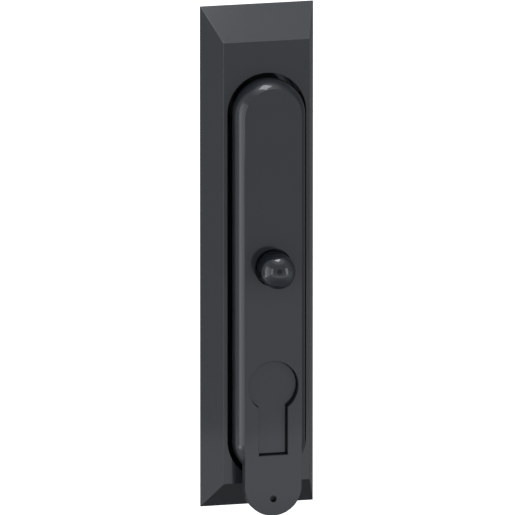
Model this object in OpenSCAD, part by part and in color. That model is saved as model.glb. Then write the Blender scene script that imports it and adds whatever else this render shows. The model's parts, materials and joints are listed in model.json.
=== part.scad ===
// Swing-handle lock for an enclosure door.
// The door lies in the plane y = 0, the lock's front looks along -Y and +Z is up.
// The origin is the middle of the housing's back face.

/* [Housing] */
// Width of the housing on the door
body_w = 38.8; // [37:0.2:44]
// Length of the housing on the door
body_l = 170; // [168:1:190]
// Height of the front face above the door
body_depth = 13.5; // [12.5:0.5:16]
// Height of the straight rim round the base
rim_h = 0.5; // [0.3:0.1:1.5]
// Width of the bevel along each side
side_bevel = 4.6; // [3.6:0.1:5]
// Width of the bevel at each end
end_bevel = 10.2; // [8:0.2:11]
// Thickness of the skin over the hollows in the back
skin = 2; // [1.5:0.1:2.4]
// Thickness of the recess floor
floor_t = 3; // [2.6:0.1:3.4]
// Radius of the recess ends
recess_r = 13.4; // [13.2:0.1:13.7]
// Distance of the recess's upper arc centre, which is the spindle axis, below the upper end
spindle_drop = 34.3; // [32:0.1:40]
// Distance of the recess's lower arc centre above the lower end
recess_rise = 25; // [23.8:0.1:30]

/* [Lever] */
// Width of the lever at its back
lever_w = 24; // [23.4:0.1:24.2]
// Height of the lever face above the housing face
lever_proud = 8.6; // [8.4:0.1:10]
// Gap between the lever's back and the housing face
lever_lift = 0.3; // [0.2:0.05:0.5]
// Radius of the rounded flank
flank_r = 7.56; // [7:0.02:8.4]
// Depth of the rounded flank behind the face
flank_d = 5.4; // [5:0.1:6]
// Thickness of the face plate
plate_t = 3.7; // [3.5:0.1:3.8]
// Thickness of the lever's side wall
lever_wall = 2; // [1.7:0.1:2.1]
// Length of the tongue below the lower end arc
tongue_l = 14.7; // [12:0.1:18]
// Radius of the seal wire hole
seal_hole_r = 1.05; // [0.8:0.05:1.5]
// Distance of the seal wire hole below the tongue's arc centre
seal_hole_drop = 4; // [2:0.1:6]
// Thickness of the lever's back plate
back_t = 1.2; // [1:0.05:1.3]

/* [Cylinder position] */
// Radius of the round part of the profile opening
profile_r = 8.6; // [8.4:0.05:8.7]
// Width of the slot of the profile opening
profile_slot_w = 9.94; // [9.6:0.02:10.2]
// Height of the whole profile opening
profile_h = 31.9; // [31:0.1:32.6]
// Distance of the round part above the recess's lower arc centre
profile_rise = 19.5; // [19:0.1:22]
// Depth of the blank's front behind the lever face
blank_sink = 2.2; // [1.5:0.1:2.6]
// Thickness of the blank's flange
blank_flange_t = 1.4; // [1.2:0.1:1.6]
// Width of the flange outside the opening
blank_lip = 0.9; // [0.7:0.05:1]
// Gap round the blank in its opening
blank_gap = 0.2; // [0.1:0.05:0.3]

/* [Button] */
// Height of the button above the middle of the housing
button_z = 0; // [-2:0.1:6]
// Radius of the ball
ball_r = 5.87; // [5.7:0.01:6]
// Distance of the ball's centre in front of the lever face
ball_proud = 6.3; // [6:0.1:8]
// Radius of the button's neck
neck_r = 5.4; // [5.2:0.05:5.6]
// Radius of the opening in the lever face round the neck
button_hole_r = 6.1; // [5.9:0.05:6.4]
// Depth of that opening
button_hole_d = 1.5; // [1:0.1:2]
// Radius of the stem's flange
stem_flange_r = 6.6; // [6.2:0.1:7]
// Thickness of the stem's flange
stem_flange_t = 0.8; // [0.6:0.05:0.85]
// Radius of the stem's tube
stem_r = 3.6; // [3.4:0.05:3.8]
// Radius of the bore for the button's spring
spring_bore_r = 2.8; // [2.6:0.05:2.9]
// Radius of the spring wire
wire_r = 0.3; // [0.25:0.01:0.35]
// Number of turns of the spring
spring_turns = 6; // [4:1:7]

/* [Spindle] */
// Radius of the spindle
spindle_r = 5; // [4.8:0.05:5.1]
// Width of the square on the spindle
square_w = 8; // [7.5:0.1:8]
// Radius of the rounded spindle head
head_r = 3.2; // [3:0.05:3.2]
// Radius of the hinge pin
pin_r = 1.5; // [1.3:0.05:1.5]
// Length of the bearing boss behind the door plane
boss_l = 9; // [7:0.5:12]
// Radius of the bearing boss
boss_r = 10; // [9.6:0.1:11]
// Height of the bearing collar in the recess
collar_h = 3; // [2.6:0.1:3.2]
// Outer radius of the bush
bush_r = 7; // [6.8:0.1:7.2]
// Thickness of the cam plate
cam_t = 3; // [2.5:0.1:4]
// Distance of the rod pins from the spindle axis
rod_pin_arm = 19; // [17:0.5:22]
// Radius of the rod pins
rod_pin_r = 4; // [3.5:0.1:4.5]
// Length of the rod pins behind the cam plate
rod_pin_l = 6; // [5:0.5:8]
// Angle through which the spindle turns
turn_angle = 90; // [60:5:90]

/* [Fixing] */
// Distance of the upper fixing hole above the spindle axis
fix_top_rise = 20.3; // [19.4:0.1:23]
// Distance of the lower fixing hole below the recess's lower arc centre
fix_low_drop = 4; // [2:0.1:5]
// Radius of the thread in the inserts
thread_r = 2.1; // [1.8:0.05:2.5]
// Radius of the inserts
insert_r = 3.5; // [3.2:0.1:3.8]
// Length of the inserts
insert_l = 8; // [6:0.5:9]
// Width of the gasket
gasket_w = 2.4; // [2:0.1:2.6]
// Thickness of the gasket
gasket_t = 1.6; // [1.2:0.1:1.8]
// Distance of the gasket from the housing's edge
gasket_inset = 2; // [1.8:0.1:2.2]

/* [Catch and buffers] */
// Distance of the catch window's middle below the button
catch_drop = 10.2; // [10:0.1:11]
// Width of the catch spring
catch_w = 6; // [5:0.2:7]
// Thickness of the catch spring
catch_t = 0.6; // [0.5:0.05:0.7]
// Distance of the upper buffer below the spindle axis
buffer_drop = 22; // [18:0.5:26]

/* [Clearances] */
// Radial clearance of parts that turn or slide in each other
run_gap = 0.05; // [0.03:0.01:0.09]
// Clearance of parts that are seated in each other
seat_gap = 0.02; // [0.01:0.01:0.04]
// Gap between faces that pass each other
face_gap = 0.1; // [0.08:0.01:0.15]

/* [Hidden] */
$fn = 64;

// How far a cut runs past the face that it opens, and how far solids of one piece run together
past = 1;
join = 0.5;

// Housing
half_w = body_w / 2;
half_l = body_l / 2;
front = -body_depth;
bevel_rise = body_depth - rim_h;
floor_y = -floor_t;
spindle_z = half_l - spindle_drop;
lower_z = recess_rise - half_l;
arm_l = spindle_z - lower_z;
groove_wall = 1.2;
gasket_half_w = half_w - gasket_inset;
gasket_half_l = half_l - gasket_inset;
core_half_w = gasket_half_w - gasket_w - groove_wall;
core_half_l = gasket_half_l - gasket_w - groove_wall;
rib_t = 1.6;

// Fixing inserts and their bosses
fix_top_z = spindle_z + fix_top_rise;
fix_low_z = lower_z - fix_low_drop;
insert_wall = 2;
insert_cover = 1.5;
fix_boss_r = insert_r + insert_wall;
fix_boss_front = -insert_l - insert_cover;

// Lever
lever_hw = lever_w / 2;
lever_front = front - lever_proud;
lever_back = front - lever_lift;
plate_back = lever_front + plate_t;
back_front = lever_back - back_t;
flank_x = lever_hw - flank_r;
flank_y = lever_front + flank_d;
face_hw = flank_x + sqrt(flank_r * flank_r - flank_d * flank_d);
cavity_r = lever_hw - lever_wall;
back_plate_r = cavity_r - face_gap;
tongue_z = lower_z - tongue_l;
seal_hole_z = tongue_z - seal_hole_drop;

// Hinge pin, the spindle's head and the lever's ribs beside it
pin_end_gap = 0.3;
pin_y = back_front - run_gap - pin_r;
pin_half_l = cavity_r - pin_end_gap;
head_hw = spindle_r;
head_side_gap = 0.15;
head_swing_gap = 0.2;
hinge_rib_in = head_hw + head_side_gap;
hinge_rib_margin = 2.7;
hinge_rib_half_h = pin_r + hinge_rib_margin;
relief_front = pin_y - head_r - head_swing_gap;
relief_half_h = head_r + 2 * head_swing_gap;
head_window_gap = 1.2;
head_window_hw = spindle_r + head_window_gap;
head_l = 4.05;
shaft_front = pin_y + head_l;

// Spindle bearing
collar_front = floor_y - collar_h;
collar_wall = 2.4;
collar_r = bush_r + collar_wall;
bush_flange_t = 1;
bush_flange_w = 1.4;
bush_flange_r = bush_r + bush_flange_w;
bush_front = collar_front - bush_flange_t;
washer_space = 1;
washer_t = 0.4;
washer_play = 0.2;
spindle_collar_back = bush_front - washer_space;
spindle_collar_t = 1;
spindle_collar_w = 1.6;
spindle_collar_r = spindle_r + spindle_collar_w;
seal_wire_r = 0.55;
seal_depth = 2;
seal_y = collar_front + seal_depth;
seal_groove_w = 1.4;
seal_groove_r = spindle_r - 2 * seal_wire_r - seat_gap;
clip_t = 1;
clip_y = boss_l + face_gap;
clip_groove_d = 0.6;
clip_groove_r = spindle_r - clip_groove_d;
clip_ring_w = 1.6;
clip_ring_r = spindle_r + clip_ring_w;
clip_eye_r = 1.2;
clip_eye_hole_r = 0.5;
clip_eye_out = 0.9;
clip_eye_arm = spindle_r + clip_eye_out;
clip_eye_angle = 22;
clip_gap_angle = 12;

// Stop disc, behind the bearing boss; its lug points up at rest
stop_rim_l = 3;
stop_rim_t = 1.8;
stop_rim_in = boss_r - stop_rim_t;
disc_gap = 0.4;
disc_front = clip_y + clip_t + disc_gap;
disc_t = boss_l + stop_rim_l + face_gap - disc_front;
disc_rim_gap = 0.3;
disc_r = stop_rim_in - disc_rim_gap;
lug_inset = 0.2;
lug_r = boss_r - lug_inset;
lug_angle = 90;
lug_half = 14;
lug_slack = 1;

// Rod cam, its pins and its screw
cam_front = disc_front + disc_t;
cam_back = cam_front + cam_t;
cam_hub_w = 6;
cam_hub_r = spindle_r + cam_hub_w;
cam_end_w = 2.5;
cam_end_r = rod_pin_r + cam_end_w;
rivet_step = 1.2;
rivet_r = rod_pin_r - rivet_step;
rod_pin_chamfer = 0.5;
spindle_end_gap = 0.2;
spindle_end = cam_back - spindle_end_gap;
cam_screw_r = 2.5;
cam_screw_l = 10;
cam_washer_t = 1.6;
cam_washer_r = 6;
cam_washer_play = 0.7;
cam_washer_in = cam_screw_r + cam_washer_play;
hex_w = 10;
hex_h = 4;
hex_slope = 2;
cam_screw_tip = cam_back + cam_washer_t - cam_screw_l;

// Profile opening and its blank
profile_z = lower_z + profile_rise;
profile_low_z = profile_z + profile_r - profile_h;
blank_front = lever_front + blank_sink;
blank_back = plate_back + blank_flange_t;
blank_screw_r = 1;
blank_screw_head_r = 1.9;
blank_screw_head_h = 1.3;
blank_screw_grip = 2.3;
blank_ear = 2;
blank_edge_gap = 0.3;
blank_boss_wall = 0.3;
blank_screw_out = 1.83;
blank_screw_x = profile_slot_w / 2 + blank_screw_out;
blank_screw_rise = 4;
blank_screw_drop = 0.7;
blank_screw_z = [profile_low_z + blank_screw_rise, profile_z - profile_r - blank_screw_drop];
blank_boss_rise = 6;
blank_boss_z = profile_low_z + blank_boss_rise;

// Button
ball_y = lever_front - ball_proud;
guide_r = neck_r + run_gap;
button_chamfer = 0.3;
stem_front = plate_back + run_gap;
stem_back = stem_front + stem_flange_t;
stem_tip_depth = 3.9;
stem_tip = ball_y + stem_tip_depth;
stem_tip_gap = 0.3;
stem_cap_t = 1;
spring_front = stem_tip + stem_cap_t;
spring_side_gap = 0.3;
spring_r = spring_bore_r - wire_r - spring_side_gap;
key_hw = 3;
key_past = 1.8;
key_drop = catch_drop + key_past;
key_rail_t = 1.2;
key_rail_l = 5;
key_rail_h = 1;
key_rail_gap = 0.2;

// Catch spring, as a bent strip in the (y, z) plane
catch_z = button_z - catch_drop;
catch_side_gap = 1;
catch_win_hw = catch_w / 2 + catch_side_gap;
catch_win_half_h = 2.2;
catch_leg = 11.8;
catch_foot_z = catch_z - catch_leg;
catch_pad_h = 2;
catch_pad_margin = 1;
catch_pad_y = floor_y - catch_pad_h;
catch_foot_y = catch_pad_y - catch_t / 2;
catch_tail = 4;
catch_flat = 4.6;
catch_bend_h = 6.5;
catch_nose_h = 1.4;
catch_hook_h = 0.7;
catch_hook_l = 0.9;
catch_path = [
    [catch_foot_y, catch_foot_z - catch_tail],
    [catch_foot_y, catch_foot_z + catch_flat],
    [floor_y - catch_bend_h, catch_z],
    [back_front - catch_nose_h, catch_z],
    [back_front - catch_hook_h, catch_z - catch_win_half_h - catch_hook_l]
];
catch_screw_r = 1.5;
catch_screw_l = 3.4;
catch_head_r = 2.75;
catch_head_h = 1.8;
catch_socket_r = 1.4;
catch_socket_d = 1;

// Screws of the back plate: two above, two level with the catch's foot, and one in the blank
plate_screw_r = 1.05;
plate_screw_head_r = 2.3;
plate_screw_play = 0.2;
plate_screw_grip = 2;
plate_screw_inset = 3;
plate_screw_x = cavity_r - plate_screw_inset;
plate_screw_drop = 14.7;
plate_screw_top_z = spindle_z - plate_screw_drop;
plate_screw_places = [for (x = [-1, 1], z = [plate_screw_top_z, catch_foot_z]) [x * plate_screw_x, z]];

// Buffers, whose rubber ends just behind the closed lever
buffer_z = spindle_z - buffer_drop;
buffer_post_r = 3.2;
buffer_wall = 1.2;
buffer_skirt = 2;
buffer_front = lever_back + face_gap;

BLACK = "#3c3d40";
GLOSS = "#242528";
RUBBER = "#1b1b1c";
STEEL = "#b4b6b8";
ZINC = "#9a9ca0";
BRASS = "#c2a35a";

// A flat outline in (x, z), given a thickness from y0 at its front to y1 at its back
module slab(y0, y1) {
    translate([0, y1, 0]) rotate([90, 0, 0]) linear_extrude(y1 - y0) children();
}

// A round bar along Y at (x, z)
module bar(r, y0, y1, x = 0, z = 0) {
    translate([x, y1, z]) rotate([90, 0, 0]) cylinder(r = r, h = y1 - y0);
}

// A cone along Y, with radius r0 at its front y0 and r1 at its back y1
module cone(r0, r1, y0, y1, x = 0, z = 0) {
    translate([x, y1, z]) rotate([90, 0, 0]) cylinder(r1 = r1, r2 = r0, h = y1 - y0);
}

// A flat outline with straight sides and round ends
module stadium(r, z_low, z_high) {
    translate([0, z_low]) circle(r = r);
    translate([0, z_high]) circle(r = r);
    translate([-r, z_low]) square([2 * r, z_high - z_low]);
}

// A flat rectangle between two heights
module band(hw, z_low, z_high) {
    translate([-hw, z_low]) square([2 * hw, z_high - z_low]);
}

// A flat wedge between two angles, with its tip on the axis
module wedge(r, a0, a1) {
    steps = 8;
    arc = [for (i = [0:steps]) let (a = a0 + (a1 - a0) * i / steps) r * [cos(a), sin(a)]];
    polygon(concat([[0, 0]], arc));
}

// The bevelled block, with every sloping plane moved inwards by t
function slope(run, t) = t * sqrt(run * run + bevel_rise * bevel_rise) / bevel_rise;
module bevelled_block(t) {
    top = -(body_depth - t);
    side = half_w - slope(side_bevel, t);
    end = half_l - slope(end_bevel, t);
    side_top = side - side_bevel * (-top - rim_h) / bevel_rise;
    end_top = end - end_bevel * (-top - rim_h) / bevel_rise;
    intersection() {
        translate([0, 0, -half_l]) linear_extrude(body_l) polygon([
            [-side, 0], [side, 0], [side, -rim_h], [side_top, top], [-side_top, top], [-side, -rim_h]
        ]);
        translate([-half_w, 0, 0]) rotate([90, 0, 90]) linear_extrude(body_w) polygon([
            [0, -end], [-rim_h, -end], [top, -end_top], [top, end_top], [-rim_h, end], [0, end]
        ]);
    }
}

module rounded_ring(hw, hl, w) {
    difference() {
        rounded_band(hw, hl, w);
        rounded_band(hw - w, hl - w, w / 2);
    }
}

module rounded_band(hw, hl, r) {
    band(hw - r, -hl, hl);
    band(hw, -hl + r, hl - r);
    for (x = [-1, 1], z = [-1, 1]) translate([x * (hw - r), z * (hl - r)]) circle(r = r);
}

// Hollows in the back of the casting, above and below the recess
module core_outline() {
    difference() {
        union() {
            band(core_half_w, spindle_z, core_half_l);
            band(core_half_w, -core_half_l, lower_z);
        }
        stadium(recess_r + skin, lower_z, spindle_z);
        translate([0, fix_top_z]) circle(r = fix_boss_r);
        band(half_w, fix_top_z - rib_t / 2, fix_top_z + rib_t / 2);
        band(rib_t / 2, fix_top_z, half_l);
        band(rib_t / 2, -half_l, lower_z);
    }
}

module housing() {
    color(BLACK) difference() {
        union() {
            difference() {
                bevelled_block(0);
                slab(front - past, floor_y) stadium(recess_r, lower_z, spindle_z);
                intersection() {
                    bevelled_block(skin);
                    slab(front, past) core_outline();
                }
                slab(-gasket_t, past) rounded_ring(gasket_half_w, gasket_half_l, gasket_w);
            }
            bar(collar_r, collar_front, floor_y + join, z = spindle_z);
            bar(boss_r, -join, boss_l, z = spindle_z);
            stop_rim();
            bar(fix_boss_r, fix_boss_front, floor_y + join, z = fix_low_z);
            bar(buffer_post_r, fix_boss_front, floor_y + join, z = buffer_z);
            slab(catch_pad_y, floor_y + join)
                band(catch_w / 2 + catch_pad_margin, catch_foot_z - catch_tail - catch_pad_margin,
                    catch_foot_z + catch_head_r);
        }
        bar(bush_r + seat_gap, front, boss_l + past, z = spindle_z);
        for (z = [fix_top_z, fix_low_z]) bar(insert_r + seat_gap, -insert_l, past, z = z);
        bar(catch_screw_r + seat_gap, front, catch_pad_y + catch_screw_l + face_gap, z = catch_foot_z);
    }
}

// The rim that stops the disc's lug at both ends of the turn
module stop_rim() {
    translate([0, 0, spindle_z]) slab(boss_l - join, boss_l + stop_rim_l) difference() {
        circle(r = boss_r);
        circle(r = stop_rim_in);
        wedge(boss_r * 2, lug_angle - lug_half - lug_slack, lug_angle + turn_angle + lug_half + lug_slack);
    }
}

module gasket() {
    color(RUBBER) slab(-gasket_t, 0) rounded_ring(gasket_half_w - seat_gap, gasket_half_l - seat_gap,
        gasket_w - 2 * seat_gap);
}

module threaded_inserts() {
    color(BRASS) for (z = [fix_top_z, fix_low_z]) difference() {
        bar(insert_r, -insert_l, 0, z = z);
        bar(thread_r, -insert_l - past, past, z = z);
    }
}

module spindle_bush() {
    color(BRASS) difference() {
        union() {
            bar(bush_r, collar_front, boss_l, z = spindle_z);
            bar(bush_flange_r, bush_front, collar_front, z = spindle_z);
        }
        bar(spindle_r + run_gap, bush_front - past, boss_l + past, z = spindle_z);
    }
}

// Rubber caps on the fixing boss and on the buffer post
module buffers() {
    color(RUBBER) {
        buffer(fix_boss_r, fix_low_z);
        buffer(buffer_post_r, buffer_z);
    }
}

module buffer(post_r, z) {
    difference() {
        bar(post_r + buffer_wall, buffer_front, fix_boss_front + buffer_skirt, z = z);
        bar(post_r + seat_gap, fix_boss_front - seat_gap, fix_boss_front + buffer_skirt + past, z = z);
    }
}

// A strip bent along points in (y, z)
module strip(points, t, w) {
    translate([-w / 2, 0, 0]) rotate([90, 0, 90]) linear_extrude(w) {
        for (p = points) translate(p) circle(d = t, $fn = 24);
        for (i = [0:len(points) - 2]) {
            step = points[i + 1] - points[i];
            translate(points[i]) rotate(atan2(step[1], step[0]))
                translate([0, -t / 2]) square([norm(step), t]);
        }
    }
}

module catch_spring() {
    color(STEEL) difference() {
        strip(catch_path, catch_t, catch_w);
        bar(catch_screw_r + run_gap, catch_pad_y - catch_t - past, catch_pad_y + past, z = catch_foot_z);
    }
}

module catch_screw() {
    head_back = catch_pad_y - catch_t;
    color(STEEL) difference() {
        union() {
            bar(catch_head_r, head_back - catch_head_h, head_back, z = catch_foot_z);
            bar(catch_screw_r, head_back - join, catch_pad_y + catch_screw_l, z = catch_foot_z);
        }
        slab(head_back - catch_head_h - past, head_back - catch_head_h + catch_socket_d)
            translate([0, catch_foot_z]) circle(r = catch_socket_r, $fn = 6);
    }
}

module spindle() {
    color(ZINC) translate([0, 0, spindle_z]) difference() {
        union() {
            translate([-head_hw, pin_y, 0]) rotate([0, 90, 0]) cylinder(r = head_r, h = 2 * head_hw);
            slab(pin_y, shaft_front) band(head_hw, -head_r, head_r);
            bar(spindle_r, shaft_front, disc_front - face_gap);
            bar(spindle_collar_r, spindle_collar_back - spindle_collar_t, spindle_collar_back);
            intersection() {
                bar(spindle_r, boss_l, spindle_end);
                slab(boss_l, spindle_end) square(square_w, center = true);
            }
        }
        translate([-head_hw - past, pin_y, 0]) rotate([0, 90, 0])
            cylinder(r = pin_r + run_gap, h = 2 * (head_hw + past));
        groove(seal_groove_r, seal_y - seal_groove_w / 2, seal_y + seal_groove_w / 2);
        groove(clip_groove_r, clip_y - seat_gap, clip_y + clip_t + face_gap);
        bar(cam_screw_r, cam_screw_tip - past, spindle_end + past);
    }
}

// A groove turned into the spindle
module groove(r, y0, y1) {
    difference() {
        bar(spindle_r + past, y0, y1);
        bar(r, y0 - past, y1 + past);
    }
}

module spindle_seal() {
    color(RUBBER) translate([0, seal_y, spindle_z]) rotate([90, 0, 0]) rotate_extrude()
        translate([seal_groove_r + seal_wire_r + seat_gap / 2, 0]) circle(r = seal_wire_r, $fn = 24);
}

// A thin ring that rises and falls in three waves
module wave_washer() {
    segments = 48;
    waves = 3;
    wave_h = (washer_space - washer_t) / 2 - seat_gap;
    r_in = spindle_r + washer_play;
    r_out = spindle_collar_r - face_gap;
    mid = bush_front - washer_space / 2;
    function corner(a, r, side) =
        [r * cos(a), mid + wave_h * sin(waves * a) + side * washer_t / 2, r * sin(a)];
    points = [for (i = [0:segments - 1]) let (a = 360 * i / segments)
        each [corner(a, r_in, -1), corner(a, r_out, -1), corner(a, r_out, 1), corner(a, r_in, 1)]];
    faces = [for (i = [0:segments - 1], k = [0:3]) let (j = (i + 1) % segments, m = (k + 1) % 4)
        each [[4 * i + k, 4 * j + k, 4 * j + m], [4 * i + k, 4 * j + m, 4 * i + m]]];
    color(STEEL) translate([0, 0, spindle_z]) polyhedron(points, faces);
}

module circlip() {
    down = -90;
    color(STEEL) translate([0, 0, spindle_z]) slab(clip_y, clip_y + clip_t) difference() {
        union() {
            circle(r = clip_ring_r);
            for (side = [-1, 1]) rotate(down + side * clip_eye_angle) translate([clip_eye_arm, 0])
                circle(r = clip_eye_r);
        }
        circle(r = clip_groove_r + seat_gap);
        wedge(boss_r, down - clip_gap_angle, down + clip_gap_angle);
        for (side = [-1, 1]) rotate(down + side * clip_eye_angle) translate([clip_eye_arm, 0])
            circle(r = clip_eye_hole_r, $fn = 24);
    }
}

module stop_disc() {
    color(STEEL) translate([0, 0, spindle_z]) slab(disc_front, cam_front) difference() {
        union() {
            circle(r = disc_r);
            intersection() {
                circle(r = lug_r);
                wedge(boss_r * 2, lug_angle - lug_half, lug_angle + lug_half);
            }
        }
        square(square_w + 2 * run_gap, center = true);
    }
}

// Plate with two arms, which moves the lock rods up and down
module rod_cam() {
    lean = asin((cam_hub_r - cam_end_r) / rod_pin_arm);
    color(STEEL) translate([0, 0, spindle_z]) slab(cam_front, cam_back) difference() {
        union() {
            circle(r = cam_hub_r);
            for (turn = [0, 180]) rotate(turn) {
                translate([0, rod_pin_arm]) circle(r = cam_end_r);
                polygon([
                    cam_hub_r * [cos(lean), sin(lean)],
                    [0, rod_pin_arm] + cam_end_r * [cos(lean), sin(lean)],
                    [0, rod_pin_arm] + cam_end_r * [-cos(lean), sin(lean)],
                    cam_hub_r * [-cos(lean), sin(lean)]
                ]);
            }
        }
        square(square_w + 2 * run_gap, center = true);
        for (z = [-rod_pin_arm, rod_pin_arm]) translate([0, z]) circle(r = rivet_r + seat_gap);
    }
}

module rod_pins() {
    end = cam_back + rod_pin_l;
    color(STEEL) for (z = [spindle_z - rod_pin_arm, spindle_z + rod_pin_arm]) {
        bar(rivet_r, cam_front, cam_back + join, z = z);
        bar(rod_pin_r, cam_back, end - rod_pin_chamfer, z = z);
        cone(rod_pin_r, rod_pin_r - rod_pin_chamfer, end - rod_pin_chamfer, end, z = z);
    }
}

module cam_washer() {
    color(STEEL) difference() {
        bar(cam_washer_r, cam_back, cam_back + cam_washer_t, z = spindle_z);
        bar(cam_washer_in, cam_back - past, cam_back + cam_washer_t + past, z = spindle_z);
    }
}

// Hexagon screw with the corners of its head turned off
module cam_screw() {
    head_front = cam_back + cam_washer_t;
    color(STEEL) translate([0, 0, spindle_z]) {
        intersection() {
            slab(head_front, head_front + hex_h) circle(d = hex_w / cos(30), $fn = 6);
            cone(hex_w / 2 + hex_slope * hex_h, hex_w / 2, head_front, head_front + hex_h);
        }
        bar(cam_screw_r - seat_gap, cam_screw_tip, head_front + join);
    }
}

// Half of the lever's cross-section in (x, y), from the middle to the flank
module lever_half() {
    intersection() {
        translate([flank_x, flank_y]) circle(r = flank_r, $fn = 96);
        translate([0, lever_front]) square([lever_hw, flank_d]);
    }
    translate([0, lever_front]) square([flank_x, flank_d]);
    translate([0, flank_y]) square([lever_hw, lever_back - flank_y]);
}

module lever_form() {
    translate([0, 0, lower_z]) linear_extrude(arm_l) {
        lever_half();
        mirror([1, 0]) lever_half();
    }
    translate([0, 0, lower_z]) rotate([-90, 0, 0]) rotate_extrude(angle = 180) lever_half();
    translate([0, 0, spindle_z]) mirror([0, 0, 1]) rotate([-90, 0, 0])
        rotate_extrude(angle = 180) lever_half();
    slab(lever_front, plate_back) stadium(face_hw, tongue_z, lower_z);
}

module profile_outline(grow) {
    translate([0, profile_z]) circle(r = profile_r + grow);
    band(profile_slot_w / 2 + grow, profile_low_z - grow, profile_z);
}

// Ribs that hold the ends of the hinge pin
module hinge_ribs() {
    rib_w = cavity_r + join - hinge_rib_in;
    for (side = [-1, 1]) slab(plate_back - join, back_front)
        translate([side * (hinge_rib_in + rib_w / 2), spindle_z])
            square([rib_w, 2 * hinge_rib_half_h], center = true);
}

// Rails on both sides of the button's key
module key_rails() {
    for (side = [-1, 1]) slab(plate_back - join, plate_back + key_rail_h)
        translate([side * (key_hw + key_rail_gap + key_rail_t / 2), button_z - key_drop + key_rail_l / 2])
            square([key_rail_t, key_rail_l], center = true);
}

module lever() {
    pin_slot_hl = pin_half_l + face_gap;
    pin_slot_r = pin_r + seat_gap;
    color(BLACK) difference() {
        union() {
            difference() {
                lever_form();
                slab(plate_back, 0) stadium(cavity_r, lower_z, spindle_z);
            }
            hinge_ribs();
            key_rails();
            for (p = plate_screw_places)
                bar(plate_screw_head_r, plate_back - join, back_front, x = p[0], z = p[1]);
        }
        slab(relief_front, plate_back + past) translate([0, spindle_z])
            band(hinge_rib_in, -relief_half_h, relief_half_h);
        translate([-pin_slot_hl, pin_y, spindle_z]) rotate([0, 90, 0])
            cylinder(r = pin_slot_r, h = 2 * pin_slot_hl);
        translate([-pin_slot_hl, pin_y, spindle_z - pin_slot_r])
            cube([2 * pin_slot_hl, back_front - pin_y + past, 2 * pin_slot_r]);
        for (p = plate_screw_places)
            bar(plate_screw_r, plate_back - plate_screw_grip - face_gap, back_front + past,
                x = p[0], z = p[1]);
        button_opening();
        slab(lever_front - past, plate_back + past) profile_outline(0);
        for (x = [-1, 1], z = blank_screw_z)
            bar(blank_screw_r, plate_back - blank_screw_grip - face_gap, plate_back + past,
                x = x * blank_screw_x, z = z);
        bar(seal_hole_r, lever_front - past, plate_back + past, z = seal_hole_z);
    }
}

// Stepped opening for the button's neck, with a chamfered edge
module button_opening() {
    bar(button_hole_r, lever_front - past, lever_front + button_hole_d, z = button_z);
    cone(button_hole_r + button_chamfer + past, button_hole_r, lever_front - past,
        lever_front + button_chamfer, z = button_z);
    bar(guide_r, lever_front, plate_back + past, z = button_z);
}

module hinge_pin() {
    color(STEEL) translate([-pin_half_l, pin_y, spindle_z]) rotate([0, 90, 0])
        cylinder(r = pin_r, h = 2 * pin_half_l);
}

// Closing plate with a window for the spindle's head and one for the catch
module lever_back_plate() {
    color(ZINC) difference() {
        slab(back_front, lever_back) difference() {
            stadium(back_plate_r, lower_z, spindle_z);
            translate([0, spindle_z]) band(lever_hw, hinge_rib_half_h, lever_hw);
            translate([0, spindle_z]) band(head_window_hw, -head_window_hw, back_plate_r);
            translate([0, catch_z]) band(catch_win_hw, -catch_win_half_h, catch_win_half_h);
        }
        for (p = concat(plate_screw_places, [[0, blank_boss_z]])) {
            cone(plate_screw_r + plate_screw_play, plate_screw_head_r + seat_gap, back_front, lever_back,
                x = p[0], z = p[1]);
            bar(plate_screw_r + plate_screw_play, back_front - past, lever_back, x = p[0], z = p[1]);
        }
    }
}

module plate_screws() {
    color(STEEL) {
        for (p = plate_screw_places) plate_screw(p, plate_back - plate_screw_grip);
        plate_screw([0, blank_boss_z], blank_front + plate_screw_r);
    }
}

module plate_screw(p, tip) {
    difference() {
        union() {
            cone(plate_screw_r, plate_screw_head_r, back_front, lever_back, x = p[0], z = p[1]);
            bar(plate_screw_r - seat_gap, tip, back_front + join, x = p[0], z = p[1]);
        }
        translate([p[0], 0, p[1]]) cross_slot(plate_screw_head_r, lever_back);
    }
}

// Cross slot in a screw head of radius r whose face is at y
module cross_slot(r, y) {
    slot_l = r * 1.04;
    slot_w = r * 0.26;
    slab(y - r * 0.3, y + past) {
        square([slot_l, slot_w], center = true);
        square([slot_w, slot_l], center = true);
    }
}

// Closed piece that fills the profile opening where no cylinder is fitted
module cylinder_blank() {
    color(BLACK) difference() {
        union() {
            slab(blank_front, plate_back + join) profile_outline(-blank_gap);
            slab(plate_back, blank_back) intersection() {
                union() {
                    profile_outline(blank_lip);
                    band(blank_screw_x + blank_ear, profile_low_z - blank_lip, profile_z);
                }
                stadium(cavity_r - blank_edge_gap, lower_z, spindle_z);
            }
            bar(plate_screw_head_r + blank_boss_wall, plate_back, back_front, z = blank_boss_z);
        }
        bar(plate_screw_r, blank_front + plate_screw_r - face_gap, back_front + past, z = blank_boss_z);
        for (x = [-1, 1], z = blank_screw_z)
            bar(blank_screw_r + face_gap, plate_back - past, blank_back + past, x = x * blank_screw_x, z = z);
    }
}

module blank_screws() {
    color(STEEL) for (x = [-1, 1], z = blank_screw_z) difference() {
        union() {
            bar(blank_screw_r - seat_gap, plate_back - blank_screw_grip, blank_back + join,
                x = x * blank_screw_x, z = z);
            bar(blank_screw_head_r, blank_back, blank_back + blank_screw_head_h,
                x = x * blank_screw_x, z = z);
        }
        translate([x * blank_screw_x, 0, z]) cross_slot(blank_screw_head_r, blank_back + blank_screw_head_h);
    }
}

module ball_knob() {
    color(GLOSS) difference() {
        union() {
            translate([0, ball_y, button_z]) sphere(r = ball_r, $fn = 96);
            bar(neck_r, ball_y, stem_front, z = button_z);
        }
        bar(stem_r, stem_tip - stem_tip_gap, stem_front + past, z = button_z);
    }
}

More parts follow.
